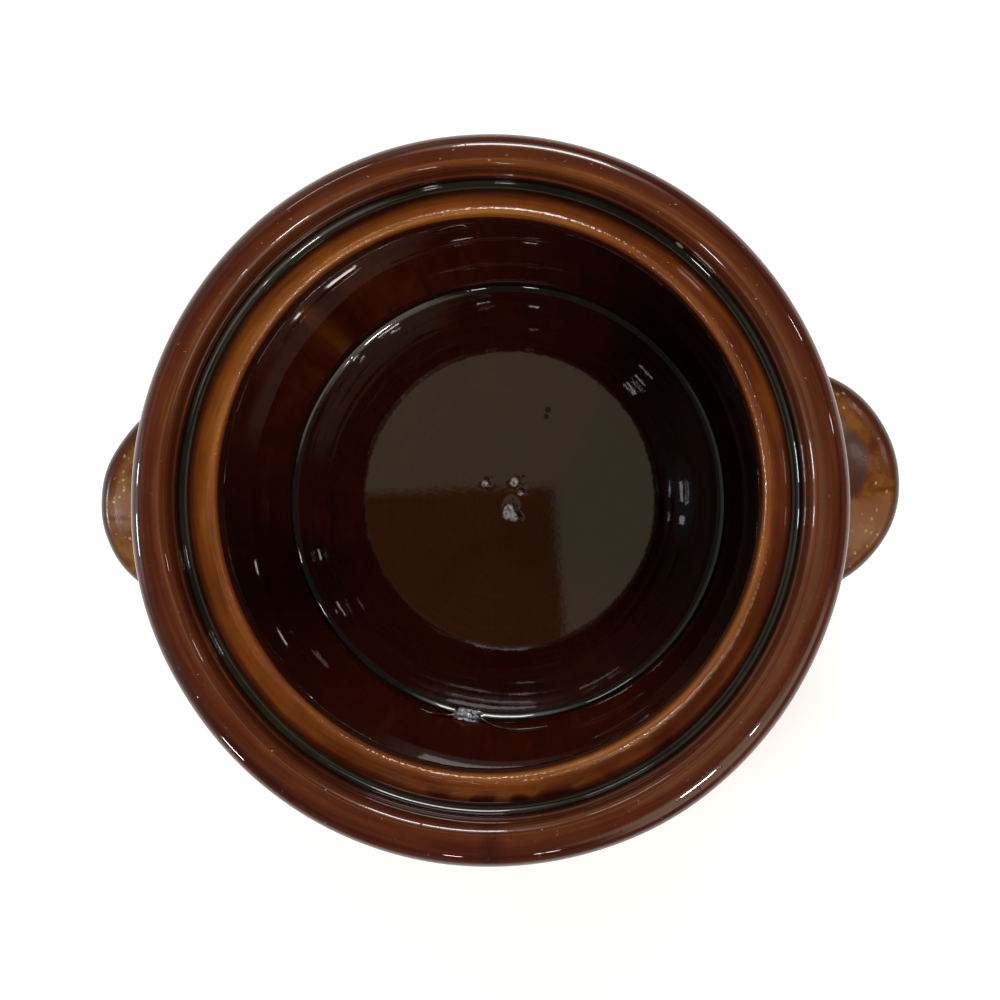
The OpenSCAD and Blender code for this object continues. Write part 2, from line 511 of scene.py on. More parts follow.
# Painted light: how much more golden the crest is painted at the front right.
CREST_PAINTED_LIGHT = 0.10
LIP_DRIP = -91
# Headings of a thin amber streak down the wall and of a streak of painted shade beside it.
AMBER_STREAK = 133.8
SHADE_STREAK = 127.5
# Heading, width and change of the coat on the wall: the amber streak, the streak of painted shade beside it,
# painted shade on the right and on the left, and painted light at the back left.
WALL_STREAK_AND_PAINTED_SHADE = (
    (AMBER_STREAK, 1.4, -0.27), (SHADE_STREAK, 1.6, 0.16), (20, 38, 0.15), (-170, 20, 0.12), (118, 30, -0.07),
)


def coat_at(place, mark):
    """Depth of the glaze at a place: the drawn mark, made uneven round the pot, with painted light and shade on
    the ledge, crest, lip and wall.
    """
    heading, r = azimuth(place), place.xy.length
    coat = mark["coat"]
    if place.z > 122:
        # Painted shade on the ledge, darker towards the front right and lighter towards the back left.
        coat += LEDGE_PAINTED_SHADE * hump(r, 73.7, 1.4) * math.cos(math.radians(heading + LEDGE_SHADE_TURN))
        # Painted light on the crest, more golden at the front right.
        coat -= CREST_PAINTED_LIGHT * (1 - ease(r, 71.6, 72.6)) * hump(heading, -42, 48)
    if place.z > 127:
        # Painted shade and light on the lip: darker at the front, lighter on its inner edge at the back.
        coat += 0.06 * hump(heading, -105, 30) - 0.09 * hump(heading, 80, 26) * hump(r, 84, 1.6)
    if place.z > 130:
        coat += 0.2 * hump(heading, LIP_DRIP, 0.9)
    if 11 < place.z < 60 and r < CAVITY_R + 2 and mark["foot"] == 0:
        # Painted shade and light on the wall, and the amber streak.
        coat += sum(change * hump(heading, middle, width) for middle, width, change in WALL_STREAK_AND_PAINTED_SHADE)
    return coat


def blotch_at(place):
    """Where the ledge has round brown blotches, along its outer half at the front."""
    if place.z < 122:
        return 0
    front = min(hump(azimuth(place), -86, 15) + 0.8 * hump(azimuth(place), -62, 6), 1)
    return hump(place.xy.length, 77.2, 1.2) * front


places = [vertex.co / MM for vertex in body.data.vertices]
store(body, "coat", [coat_at(place, mark) for place, mark in zip(places, body_marks)])
store(body, "blotch", [blotch_at(place) for place in places])
# The bloom marks where the nub's lumps are painted milk-white, near white so that the colour also stands in for
# their glints: a painted highlight.
store(body, "bloom", [nub_bloom(place) if 5 < place.z < 12 else 0 for place in places])
for mark_name in ("runs", "grit", "foot"):
    store(body, mark_name, [mark[mark_name] for mark in body_marks])
print("amber run at", AMBER_STREAK, "degrees")

# %% [markdown]
# ## Pooled glaze
#
# Where glaze runs together it lies deep and turns green-black. It wets the clay on both sides, so its surface
# is hollow, like water in a narrow dish. Both pools are turned sections again: a hollow arc on top, and the
# clay's own corner below.

# %% Pool in the channel
POOL_REACH = 236, 341
MENISCUS = 2.2
POOL_AROUND = 432

pool_in, pool_out = Vector(on_groove(POOL_REACH[0])), Vector(on_groove(POOL_REACH[1]))
across = pool_out - pool_in
lift = math.sqrt(MENISCUS ** 2 - (across.length / 2) ** 2)
hollow = (pool_in + pool_out) / 2 + Vector((-across.y, across.x)).normalized() * lift
hollow_sweep = (angle_of(hollow, pool_out) - angle_of(hollow, pool_in)) % 360
groove_sweep = (angle_of(CHANNEL, pool_out) - angle_of(CHANNEL, pool_in)) % 360

pen = Pen("gallery_pool", *pool_in, coat=0.8)
pen.arc(hollow, hollow_sweep / 2, 8, coat=1.0)
pen.arc(hollow, hollow_sweep / 2, 8, coat=0.9)
pen.arc(CHANNEL, -groove_sweep, 8)
gallery_points = pen.points
gallery_pool = pen.turn(POOL_AROUND)
print("channel pool", round(across.length, 1), "mm wide")

# %% Pool in the corner of the floor
FILLET = 6.6
FLOOR_EDGE = 14.0
WALL_TILT = 33.0
floor_dip, wall_lean = math.radians(FLOOR_EDGE), math.radians(WALL_TILT)
fillet_rise = FILLET * (math.cos(floor_dip) - math.sin(wall_lean))
wall_drop = BELLY_Z - FLOOR_Z - fillet_rise
wall_reach = lower_in[0] + math.sqrt((CAVITY_R - lower_in[0]) ** 2 - wall_drop ** 2)
fillet = (wall_reach - FILLET * math.cos(wall_lean), FLOOR_Z + FILLET * math.cos(floor_dip))
fillet_r = fillet[0] + FILLET * math.sin(floor_dip)
fillet_sweep = 90 - WALL_TILT - FLOOR_EDGE

pen = Pen("floor_pool", fillet_r, FLOOR_Z, coat=0.80)
pen.arc(fillet, fillet_sweep / 4, 5, coat=1.0)
pen.arc(fillet, fillet_sweep / 4, 5, coat=0.94)
pen.arc(fillet, fillet_sweep / 2, 8, coat=0.50)
pen.line(FLOOR_R, FLOOR_Z, 3)
pen.line(fillet_r, FLOOR_Z, 2)
floor_points = pen.points
floor_pool = pen.turn(POOL_AROUND)
print("floor pool from", round(fillet_r, 1), "to", round(wall_reach, 1), "mm")

# %% [markdown]
# The pools aren't even: their surface swells and sinks along the run. At the front of the floor a late drip
# froze as a knot, with two thin ropes of glaze that curl from it up the wall. Each rope is a curve with a
# round bevel, made a mesh and joined to the pool.

# %% The frozen drip
KNOT = -103
ROPES = (
    ((-107, 76.2, 9.5, 0.6), (-104, 77.5, 10.2, 2.2), (-101.5, 78.0, 10.6, 1.9), (-99, 78.8, 11.2, 1.0),
     (-96, 80.3, 12.6, 0.9), (-92.5, 81.2, 13.9, 0.85), (-88, 81.5, 14.4, 0.7), (-82, 81.4, 14.1, 0.25)),
    ((-102, 78.1, 10.6, 1.6), (-105, 78.6, 11.2, 1.2), (-108, 79.9, 12.4, 0.8), (-111.5, 80.6, 13.4, 0.6),
     (-115, 80.7, 13.4, 0.2)),
)
ROPE_ROUND = 0.75


def frozen_rope(places):
    """A rope of glaze through the listed headings, radii and heights, with its thickness at each."""
    bpy.ops.object.select_all(action="DESELECT")
    bpy.ops.curve.primitive_bezier_curve_add(location=(0, 0, 0))
    rope = bpy.context.object
    rope.name = "frozen_rope"
    line = rope.data.splines[0]
    line.bezier_points.add(len(places) - 2)
    for point, (heading, r, z, thickness) in zip(line.bezier_points, places):
        angle = math.radians(heading)
        point.co = Vector((r * math.cos(angle), r * math.sin(angle), z)) * MM
        point.handle_left_type = point.handle_right_type = "AUTO"
        point.radius = thickness
    rope.data.dimensions = "3D"
    rope.data.bevel_depth = ROPE_ROUND * MM
    rope.data.bevel_resolution = 4
    rope.data.resolution_u = 10
    rope.data.use_fill_caps = True
    bpy.ops.object.convert(target="MESH")
    return bpy.context.object


def pick(piece):
    """Selects one object alone and makes it the active one."""
    bpy.ops.object.select_all(action="DESELECT")
    piece.select_set(True)
    bpy.context.view_layer.objects.active = piece


ropes = [frozen_rope(places) for places in ROPES]
pick(floor_pool)
for rope in ropes:
    rope.select_set(True)
bpy.ops.object.join()
print("floor pool with its ropes:", len(floor_pool.data.polygons), "faces")

# %% Swells of the pools
POOLS = ((gallery_pool, gallery_points, 30, 0.10), (floor_pool, floor_points, 26, 0.20))
WIDE_SIDE = -14


def drip_push(place):
    rough = noise.noise(place / 1.6) * hump(azimuth(place), KNOT, 2.2)
    return 0.5 * hump(azimuth(place), KNOT, 2.0) + 0.8 * rough


def knot_milk_and_glint(place):
    """Where the glaze at the knot went milk-white, painted near white so that it also stands in for its glints,
    a painted highlight; from 0 to 1.
    """
    return min(hump(azimuth(place), KNOT, 2.2) * ease(place.xy.length, 75.6, 76.8), 1)


def pool_swell(place, size, depth, drips):
    """A pool's surface swells and sinks along its run."""
    return Vector((0, 0, depth * noise.noise(place / size) + (drip_push(place) if drips else 0)))


def pool_spread(place):
    """The floor's pool lies wider on the right, where more glaze ran down."""
    wide = 0.3 * hump(azimuth(place), WIDE_SIDE, 26)
    out = place.xy.normalized() * (place.xy.length - FLOOR_R)
    return Vector((*out, place.z - FLOOR_Z)) * wide


for pool, points, size, depth in POOLS:
    drips = pool is floor_pool
    store(pool, "coat", [mark["coat"] for mark in marks_of(pool, points)])
    store(pool, "bloom", [knot_milk_and_glint(vertex.co / MM) if drips else 0 for vertex in pool.data.vertices])
    nudge(pool, lambda place: pool_swell(place, size, depth, drips))
    if drips:
        nudge(pool, pool_spread)
    for settle in (mouth_shift, floor_sag, kiln_warp):
        nudge(pool, settle)
    pick(pool)
    bpy.ops.object.shade_smooth_by_angle(angle=math.radians(40))
    print(pool.name, len(pool.data.polygons), "faces")

# %% [markdown]
# ## Lugs
#
# A lug is a thick flat disc of clay, pressed on to the belly with half of it standing out. The disc is turned
# from its section, squeezed a little at the front as by hand and moved to its place. The belly is then cut out
# of it with a Boolean, so that its root follows the wall.

# %% Two lugs cut by the belly
LUG_X = 84
LUG_Y = 2
LUG_Z = 78
LUG_R = 35
LUG_TOP = 10
LUG_EDGE = 5
LUG_AROUND = 144
CUTTER_AROUND = 192
LUG_FRONT = {-1: 0.89, 1: 0.95}
LUG_REACH = {-1: 1.02, 1: 1.0}
crown_r = LUG_R - LUG_EDGE
crown_drop = LUG_TOP - LUG_EDGE
crown_arc = (crown_r ** 2 + crown_drop ** 2) / (2 * crown_drop)
crown_sweep = math.degrees(math.asin(crown_r / crown_arc))


def turned_disc(name):
    pen = Pen(name, 0, LUG_TOP)
    pen.arc((0, LUG_TOP - crown_arc), -crown_sweep, 26)
    pen.arc((crown_r, 0), -180, 18)
    pen.arc((0, crown_arc - LUG_TOP), -crown_sweep, 26)
    return pen.turn(LUG_AROUND)


def turned_belly(name):
    """The belly's outside as a plain solid, to cut with."""
    pen = Pen(name, 0, NECK[1])
    pen.line(*NECK)
    pen.arc(upper_out, -angle_of(upper_out, NECK), 24)
    pen.arc(lower_out, angle_of(lower_out, (BASE_R, 0)), 24)
    pen.line(0, 0)
    piece = pen.turn(CUTTER_AROUND)
    nudge(piece, kiln_warp)
    return piece


def make_lug(name, side):
    disc = turned_disc(name)
    for vertex in disc.data.vertices:
        place = vertex.co / MM
        lump = 0.35 * noise.noise(place / 14 + Vector((side * 7, 3, 1)))
        vertex.co += vertex.normal * lump * MM
        if vertex.co.x * side > 0:
            vertex.co.x *= LUG_REACH[side]
        if vertex.co.y < 0:
            vertex.co.y *= LUG_FRONT[side]
    bpy.ops.object.mode_set(mode="EDIT")
    bpy.ops.mesh.select_all(action="SELECT")
    bpy.ops.transform.translate(value=(side * LUG_X * MM, LUG_Y * MM, LUG_Z * MM))
    bpy.ops.object.mode_set(mode="OBJECT")
    cutter = turned_belly("belly_cutter")
    pick(disc)
    cut = disc.modifiers.new("belly", "BOOLEAN")
    cut.operation = "DIFFERENCE"
    cut.object = cutter
    cut.solver = "EXACT"
    bpy.ops.object.modifier_apply(modifier="belly")
    bpy.data.objects.remove(cutter)
    bpy.ops.object.shade_smooth_by_angle(angle=math.radians(40))
    print(name, len(disc.data.polygons), "faces")
    return disc


left_lug = make_lug("lug_left", -1)
right_lug = make_lug("lug_right", 1)

# %% [markdown]
# ## Slip beads
#
# The lugs are stuck on with slip, and the potter wipes the spare slip into a hollow bead along the root. A
# torus has the right build for that: a ring of small rings. Its vertices are laid along the line where lug and
# belly meet, each small ring as a hollow fillet between the two surfaces.

# %% A hollow bead around each root
BEAD_WIDTH = 3.2
BEAD_SECTION = 10
BEAD_AROUND = 128
BEAD_SINK = 0.15
ROOT_FLATNESS = 3.4


def belly_gap(place):
    """How far a place in millimetres is outside the belly."""
    x, y = place.x / (1 - KILN_WARP), place.y / (1 + KILN_WARP)
    centre = upper_out if place.z > BELLY_Z else lower_out
    return math.hypot(math.hypot(x, y) - centre[0], place.z - centre[1]) - (BELLY_R - centre[0])


def lug_gap(place):
    """How far a place in millimetres is outside a lug's disc, measured up or down."""
    side = 1 if place.x > 0 else -1
    along = place.y - LUG_Y
    r = math.hypot((abs(place.x) - LUG_X) / LUG_REACH[side], along if along > 0 else along / LUG_FRONT[side])
    if r < crown_r:
        half = LUG_TOP - r * r / (2 * crown_arc)
        return abs(place.z - LUG_Z) - half
    return math.hypot(r - crown_r, place.z - LUG_Z) - LUG_EDGE


def slope(gap, place):
    """Unit direction in which a gap grows fastest."""
    step = 0.05
    axes = (Vector((step, 0, 0)), Vector((0, step, 0)), Vector((0, 0, step)))
    return Vector([gap(place + axis) - gap(place - axis) for axis in axes]).normalized()


def halve(near, far, inside):
    """The edge between an inside and an outside, found by halving the way between them."""
    for _ in range(40):
        middle = (near + far) / 2
        if inside(middle):
            near = middle
        else:
            far = middle
    return near


def on_belly(side, y, z):
    """The place on the belly at one width and height."""
    return Vector((side * halve(40.0, 130.0, lambda x: belly_gap(Vector((side * x, y, z))) < 0), y, z))


def root_place(side, angle):
    """A place on the line where lug and belly meet, at one angle around the root."""

    def spot(reach):
        return on_belly(side, LUG_Y + reach * math.cos(angle), LUG_Z + reach * math.sin(angle))

    return spot(halve(0.0, 45.0, lambda reach: lug_gap(spot(reach)) < 0))


def root_angles(count):
    """Angles around the flat root, closer together at its two narrow ends."""
    for i in range(count):
        even = math.tau * i / count
        yield math.atan2(math.sin(even), ROOT_FLATNESS * math.cos(even))


def make_bead(name, side):
    bpy.ops.object.select_all(action="DESELECT")
    bpy.ops.mesh.primitive_torus_add(major_segments=BEAD_AROUND, minor_segments=BEAD_SECTION)
    bead = bpy.context.object
    bead.name = name
    bead.data.name = name
    for i, angle in enumerate(root_angles(BEAD_AROUND)):
        place = root_place(side, angle)
        from_belly = slope(belly_gap, place)
        from_lug = slope(lug_gap, place)
        along_belly = (from_lug - from_lug.dot(from_belly) * from_belly).normalized()
        along_lug = (from_belly - from_belly.dot(from_lug) * from_lug).normalized()
        width = BEAD_WIDTH * (1 + 0.25 * noise.noise(place / 9))
        start = place + along_belly * width - from_belly * BEAD_SINK
        end = place + along_lug * width * 0.8 - from_lug * BEAD_SINK
        for j in range(BEAD_SECTION):
            share = j / (BEAD_SECTION - 2)
            if j == BEAD_SECTION - 1:
                spot = place - (from_belly + from_lug) * 0.8
            else:
                spot = start * (1 - share) ** 2 + place * 2 * share * (1 - share) + end * share ** 2
            bead.data.vertices[i * BEAD_SECTION + j].co = spot * MM
    bead.data.update()
    bpy.ops.object.mode_set(mode="EDIT")
    bpy.ops.mesh.select_all(action="SELECT")
    bpy.ops.mesh.normals_make_consistent(inside=False)
    bpy.ops.object.mode_set(mode="OBJECT")
    bpy.ops.object.shade_smooth_by_angle(angle=math.radians(50))
    print(name, len(bead.data.polygons), "faces")
    return bead


left_bead = make_bead("slip_bead_left", -1)
right_bead = make_bead("slip_bead_right", 1)

# %% [markdown]
# ## Glaze
#
# One iron glaze covers the pot. Thin, over an edge, it breaks to gold. At its usual depth it is red-brown, and
# where it pools it goes green-black. A colour ramp holds these stages, and the coat attribute, shifted by
# streaks and clouds, says where on the ramp a place lies. Gloss comes from the shader.

# %% Helpers for materials


def paint(red, green, blue):
    """A colour as one reads it off a screen, 0 to 255, made linear for a shader."""
    linear = []
    for level in (red, green, blue):
        share = level / 255
        linear.append(share / 12.92 if share <= 0.04045 else ((share + 0.055) / 1.055) ** 2.4)
    return (*linear, 1)


class Nodes:
    """Short calls that add nodes to a tree. A source is another node's output or a plain value."""

    def __init__(self, tree):
        self.tree = tree

    def feed(self, socket, source):
        if isinstance(source, bpy.types.NodeSocket):
            self.tree.links.new(source, socket)
        else:
            socket.default_value = source

    def node(self, kind, links=(), **settings):
        made = self.tree.nodes.new(kind)
        for key, value in settings.items():
            setattr(made, key, value)
        for socket, source in dict(links).items():
            self.feed(made.inputs[socket], source)
        return made

    def math(self, operation, *values):
        return self.node("ShaderNodeMath", enumerate(values), operation=operation).outputs[0]

    def vector(self, operation, *values):
        made = self.node("ShaderNodeVectorMath", enumerate(values), operation=operation)
        is_number = operation in ("LENGTH", "DISTANCE", "DOT_PRODUCT")
        return made.outputs["Value" if is_number else "Vector"]

    def split(self, where):
        return self.node("ShaderNodeSeparateXYZ", {0: where}).outputs

    def point(self, *parts):
        return self.node("ShaderNodeCombineXYZ", enumerate(parts)).outputs[0]

    def fit(self, value, low, high, to_low=0.0, to_high=1.0, **settings):
        links = {"Value": value, "From Min": low, "From Max": high, "To Min": to_low, "To Max": to_high}
        return self.node("ShaderNodeMapRange", links, **settings).outputs["Result"]

    def mix(self, share, first, second):
        return self.node("ShaderNodeMix", {0: share, 6: first, 7: second}, data_type="RGBA").outputs[2]


class Finish(Nodes):
    """A material, with calls for what a glaze needs."""

    def __init__(self, name):
        self.material = bpy.data.materials.new(name)
        self.material.use_nodes = True
        super().__init__(self.material.node_tree)
        self.shader = self.tree.nodes["Principled BSDF"]

    def place(self):
        return self.node("ShaderNodeTexCoord").outputs["Object"]

    def cloud(self, where, scale, detail=3.0, rough=0.55):
        links = {"Vector": where, "Scale": scale, "Detail": detail, "Roughness": rough}
        return self.node("ShaderNodeTexNoise", links).outputs["Fac"]

    def mark(self, name):
        """A number that was kept on the vertices."""
        return self.node("ShaderNodeAttribute", attribute_name=name).outputs["Fac"]

    def near(self, where, spot, size):
        """1 within size of a spot and 0 outside, both in millimetres."""
        away = self.vector("DISTANCE", where, Vector(spot) * MM)
        return self.fit(away, size * 1.15 * MM, size * 0.8 * MM)

    def ramp(self, value, stages):
        made = self.node("ShaderNodeValToRGB", {"Fac": value})
        stops = made.color_ramp.elements
        while len(stops) < len(stages):
            stops.new(0.5)
        for stop, (position, colour) in zip(stops, stages):
            stop.position = position
            stop.color = colour
        return made.outputs["Color"]

    def bump(self, height, distance, strength=1.0, under=None):
        links = {"Height": height, "Distance": distance, "Strength": strength}
        if under is not None:
            links["Normal"] = under
        return self.node("ShaderNodeBump", links).outputs["Normal"]

    def wear(self, socket, source):
        self.feed(self.shader.inputs[socket], source)


GOLD = paint(150, 94, 34)
AMBER = paint(122, 66, 24)
BROWN = paint(86, 41, 19)
RED_BROWN = paint(66, 22, 9)
DARK_RED = paint(46, 13, 6)
GREEN_BLACK = paint(12, 14, 10)
# Milk-white of clouded glaze, near white so that it also serves as a painted highlight.
MILK_AND_GLINT_WHITE = paint(232, 238, 250)
CLAY = paint(178, 150, 112)
GLAZE_STAGES = (
    (0.0, GOLD), (0.2, AMBER), (0.42, BROWN), (0.62, RED_BROWN), (0.8, DARK_RED), (1.0, GREEN_BLACK),
)


def round_streaks(finish, where, along, across, detail=4.0):
    """Streaks that run round the pot: slow along the ring, fast across it."""
    x, y, z = finish.split(where)
    flat = finish.point(x, y)
    ring = finish.vector("MULTIPLY", finish.vector("NORMALIZE", flat), (along, along, along))
    sides = finish.split(ring)
    section = finish.math("MULTIPLY", finish.math("ADD", finish.vector("LENGTH", flat), z), across)
    return finish.cloud(finish.point(sides[0], sides[1], section), 1.0, detail, 0.6)


# %% Glaze of the body
IRON_SPOTS = (((16.9, 33.7, 9), 1.4), ((16.1, 31.3, 9), 1.3))
CHIP = (51.6, 62.4, 124.6)
CHIP_SIZE = 1.2


def body_colour(glaze, where):
    """Depth of the coat, with streaks, clouds and blotches, turned into colour; milk-white where the glaze
    clouded at the nub's lumps, painted near white so that it also stands in for their glints, a painted
    highlight.
    """
    runs = glaze.mark("runs")
    clouds = glaze.fit(glaze.cloud(where, 60), 0.3, 0.7, -0.05, 0.05)
    turned = glaze.fit(round_streaks(glaze, where, 2.5, 700.0), 0.32, 0.68, -0.10, 0.10)
    fallen = glaze.fit(round_streaks(glaze, where, 22.0, 40.0), 0.3, 0.7, -0.06, 0.06)
    streaks = glaze.math("ADD", turned, glaze.math("MULTIPLY", runs, glaze.math("SUBTRACT", fallen, turned)))
    depth = glaze.math("ADD", glaze.math("ADD", glaze.mark("coat"), clouds), streaks)
    blots = glaze.fit(round_streaks(glaze, where, 13.0, 300.0, 0.5), 0.44, 0.60, 0.0, 0.42)
    colour = glaze.ramp(glaze.math("MULTIPLY_ADD", glaze.mark("blotch"), blots, depth), GLAZE_STAGES)
    # Milk-white at the nub's lumps, bright enough to stand in for their glints too: a painted highlight.
    milk_and_glint_spots = glaze.fit(glaze.cloud(where, 650, 3.0), 0.38, 0.54)
    milk_and_glint_share = glaze.math("MULTIPLY", glaze.fit(glaze.mark("bloom"), 0.30, 0.65), milk_and_glint_spots)
    return glaze.mix(milk_and_glint_share, colour, MILK_AND_GLINT_WHITE)


def body_glaze():
    glaze = Finish("body_glaze")
    where = glaze.place()
    colour = body_colour(glaze, where)
    iron = 0.0
    for spot, size in IRON_SPOTS:
        iron = glaze.math("MAXIMUM", iron, glaze.near(where, spot, size))
    colour = glaze.mix(iron, colour, paint(14, 9, 6))
    colour = glaze.mix(glaze.near(where, CHIP, CHIP_SIZE), colour, paint(150, 146, 128))
    edge = glaze.math("ADD", glaze.split(where)[2], glaze.fit(glaze.cloud(where, 40), 0.3, 0.7, -0.002, 0.002))
    outside = glaze.fit(glaze.mark("foot"), 0.5, 0.7)
    bare = glaze.math("MULTIPLY", outside, glaze.fit(edge, 0.0075, 0.0065))
    grain = glaze.fit(glaze.cloud(where, 1400, 2.0), 0.35, 0.65)
    clay = glaze.mix(grain, CLAY, paint(150, 120, 84))
    glaze.wear("Base Color", glaze.mix(bare, colour, clay))
    grit = glaze.mark("grit")
    rough = glaze.math("MAXIMUM", glaze.fit(grit, 0, 1, 0.035, 0.12), glaze.math("MULTIPLY", iron, 0.5))
    glaze.wear("Roughness", glaze.math("MAXIMUM", rough, glaze.math("MULTIPLY", bare, 0.8)))
    peel = glaze.bump(glaze.cloud(where, 600, 1.0), 0.000004)
    specks = glaze.fit(glaze.cloud(where, 900, 0.0), 0.78, 0.86)
    on_rim = glaze.math("MULTIPLY", glaze.fit(glaze.mark("runs"), 0.3, 0.1), glaze.fit(grit, 0.3, 0.1))
    specked = glaze.bump(specks, 0.00012, glaze.math("MULTIPLY", on_rim, 0.6), peel)
    glaze.wear("Normal", glaze.bump(glaze.cloud(where, 1000, 1.0), 0.00017, grit, specked))
    return glaze.material


# %% Glaze of the pools


def pool_glaze():
    glaze = Finish("pooled_glaze")
    where = glaze.place()
    clouds = glaze.fit(glaze.cloud(where, 90), 0.3, 0.7, -0.08, 0.08)
    deep = glaze.mix(glaze.fit(glaze.cloud(where, 45), 0.42, 0.62), paint(9, 11, 8), paint(28, 28, 20))
    edge = glaze.fit(glaze.math("ADD", glaze.mark("coat"), clouds), 0.76, 0.92)
    colour = glaze.mix(edge, DARK_RED, deep)
    # Milk-white at the knot, bright enough to stand in for its glints too: a painted highlight.
    milk_and_glint_spots = glaze.fit(glaze.cloud(where, 650, 3.0), 0.36, 0.54)
    milk_and_glint_share = glaze.math("MULTIPLY", glaze.fit(glaze.mark("bloom"), 0.25, 0.75), milk_and_glint_spots)
    glaze.wear("Base Color", glaze.mix(milk_and_glint_share, colour, MILK_AND_GLINT_WHITE))
    glaze.wear("Roughness", 0.04)
    glaze.wear("Normal", glaze.bump(glaze.cloud(where, 160, 2.0), 0.00004))
    return glaze.material


# %% [markdown]
# The lugs wear the same glaze, but it ran off their flat tops and left them amber, with rust clouds. Painted
# shade makes a dark line round the edge and a dark oval against the wall on the right lug. A band of paler,
# pinkish colour across each top is a painted reflection. Where the flat top turns over, small blisters broke
# and left flecks, pressed in as bumps and painted pale as painted highlights.

# %% Glaze of the lugs and the slip
FLECK_LINE = 0.0283
FLECK_SHAKE = 0.0011


def lug_places(glaze, where):
    """A point's side of the pot, and how far it lies out, along the wall and in all from its disc's centre."""
    x, y, _ = glaze.split(where)
    out = glaze.math("SUBTRACT", glaze.math("ABSOLUTE", x), LUG_X * MM)
    along = glaze.math("SUBTRACT", y, LUG_Y * MM)
    reach = glaze.vector("LENGTH", glaze.point(out, along))
    return glaze.math("SIGN", x), out, along, reach


def lug_fleck_glints(glaze, where, reach):
    """Small ragged flecks, close together along the line where the top turns over; their pale colour is a
    painted highlight.
    """
    shake = glaze.node("ShaderNodeTexNoise", {"Vector": where, "Scale": 900.0}).outputs["Color"]
    ragged = glaze.vector("MULTIPLY", shake, (FLECK_SHAKE, FLECK_SHAKE, FLECK_SHAKE))
    spot = glaze.vector("ADD", where, ragged)
    cells = glaze.node("ShaderNodeTexVoronoi", {"Vector": spot, "Scale": 620.0}).outputs
    dots = glaze.fit(cells["Distance"], 0.36, 0.20)
    lot = glaze.node("ShaderNodeSeparateColor", {0: cells["Color"]}).outputs
    away = glaze.math("ABSOLUTE", glaze.math("SUBTRACT", reach, FLECK_LINE))
    chance = glaze.math("ADD", lot[0], glaze.fit(away, 0.0045, 0.0008, 0.0, 0.30))
    strong = glaze.fit(lot[1], 0.0, 1.0, 0.35, 1.0)
    return glaze.math("MULTIPLY", strong, glaze.math("MULTIPLY", dots, glaze.fit(chance, 0.97, 1.02)))


def lug_glaze():
    glaze = Finish("lug_glaze")
    where = glaze.place()
    side, out, along, reach = lug_places(glaze, where)
    right = glaze.math("GREATER_THAN", side, 0.0)
    clouds = glaze.cloud(where, 130, 5.0, 0.65)
    stages = ((0.34, paint(84, 40, 10)), (0.48, paint(106, 60, 20)), (0.62, paint(128, 82, 32)))
    colour = glaze.ramp(clouds, stages)
    # A band of paler, pinkish colour across each lug, lower on the right one: a painted reflection.
    soft = glaze.fit(glaze.cloud(where, 70), 0.3, 0.7, -0.003, 0.003)
    middle = glaze.math("MULTIPLY_ADD", side, -0.0055, -0.0055)
    off = glaze.math("ABSOLUTE", glaze.math("SUBTRACT", glaze.math("ADD", along, soft), middle))
    colour = glaze.mix(glaze.fit(off, 0.0085, 0.0045, 0.0, 0.85), colour, paint(130, 86, 60))
    rust = glaze.math("MULTIPLY", glaze.fit(reach, 0.0285, 0.0312, 0.0, 0.9), glaze.fit(along, 0.002, 0.008))
    colour = glaze.mix(rust, colour, paint(82, 30, 10))
    # Painted shade: a dark oval on the right lug against the wall.
    across = glaze.fit(out, 0.0080, 0.0250, -1, 1)
    length = glaze.fit(along, -0.0065, 0.0165, -1, 1)
    from_oval = glaze.vector("LENGTH", glaze.point(across, length))
    painted_shade_patch = glaze.math("MULTIPLY", right, glaze.fit(from_oval, 1.05, 0.80, 0.0, 0.9))
    colour = glaze.mix(painted_shade_patch, colour, paint(66, 42, 34))
    crease = glaze.fit(glaze.math("ABSOLUTE", glaze.math("ADD", along, 0.0029)), 0.0011, 0.0003, 0.0, 0.7)
    creased = glaze.math("MULTIPLY", crease, glaze.fit(out, 0.0235, 0.0265))
    colour = glaze.mix(creased, colour, paint(84, 40, 12))
    # Painted shade: a dark line where the top turns over at the edge.
    colour = glaze.mix(glaze.fit(reach, 0.0312, 0.0334), colour, paint(58, 28, 11))
    flecks = lug_fleck_glints(glaze, where, reach)
    # The flecks are painted pale as painted highlights; they are also pressed in as bumps below.
    glaze.wear("Base Color", glaze.mix(glaze.math("MULTIPLY", flecks, 0.8), colour, paint(206, 170, 112)))
    glaze.wear("Roughness", 0.2)
    glaze.wear("Specular IOR Level", 0.3)
    glaze.wear("Normal", glaze.bump(flecks, 0.0002, 0.7, glaze.bump(glaze.cloud(where, 700, 2.0), 0.00004)))
    return glaze.material


def slip_glaze():
    glaze = Finish("slip_glaze")
    where = glaze.place()
    clouds = glaze.cloud(where, 120, 4.0)
    glaze.wear("Base Color", glaze.ramp(clouds, ((0.3, paint(60, 24, 10)), (0.7, paint(98, 52, 22)))))
    glaze.wear("Roughness", 0.1)
    glaze.wear("Normal", glaze.bump(glaze.cloud(where, 500, 2.0), 0.00004))
    return glaze.material


FINISHES = {
    "body_glaze": body_glaze(),
    "pooled_glaze": pool_glaze(),
    "lug_glaze": lug_glaze(),
    "slip_glaze": slip_glaze(),
}
print("finishes:", ", ".join(FINISHES))

# %% [markdown]
# ## Every piece takes its solid's place
#
# A piece stands for one solid of the frame, rides on the pot's only body and takes its finish from the
# record's slot of the same name.

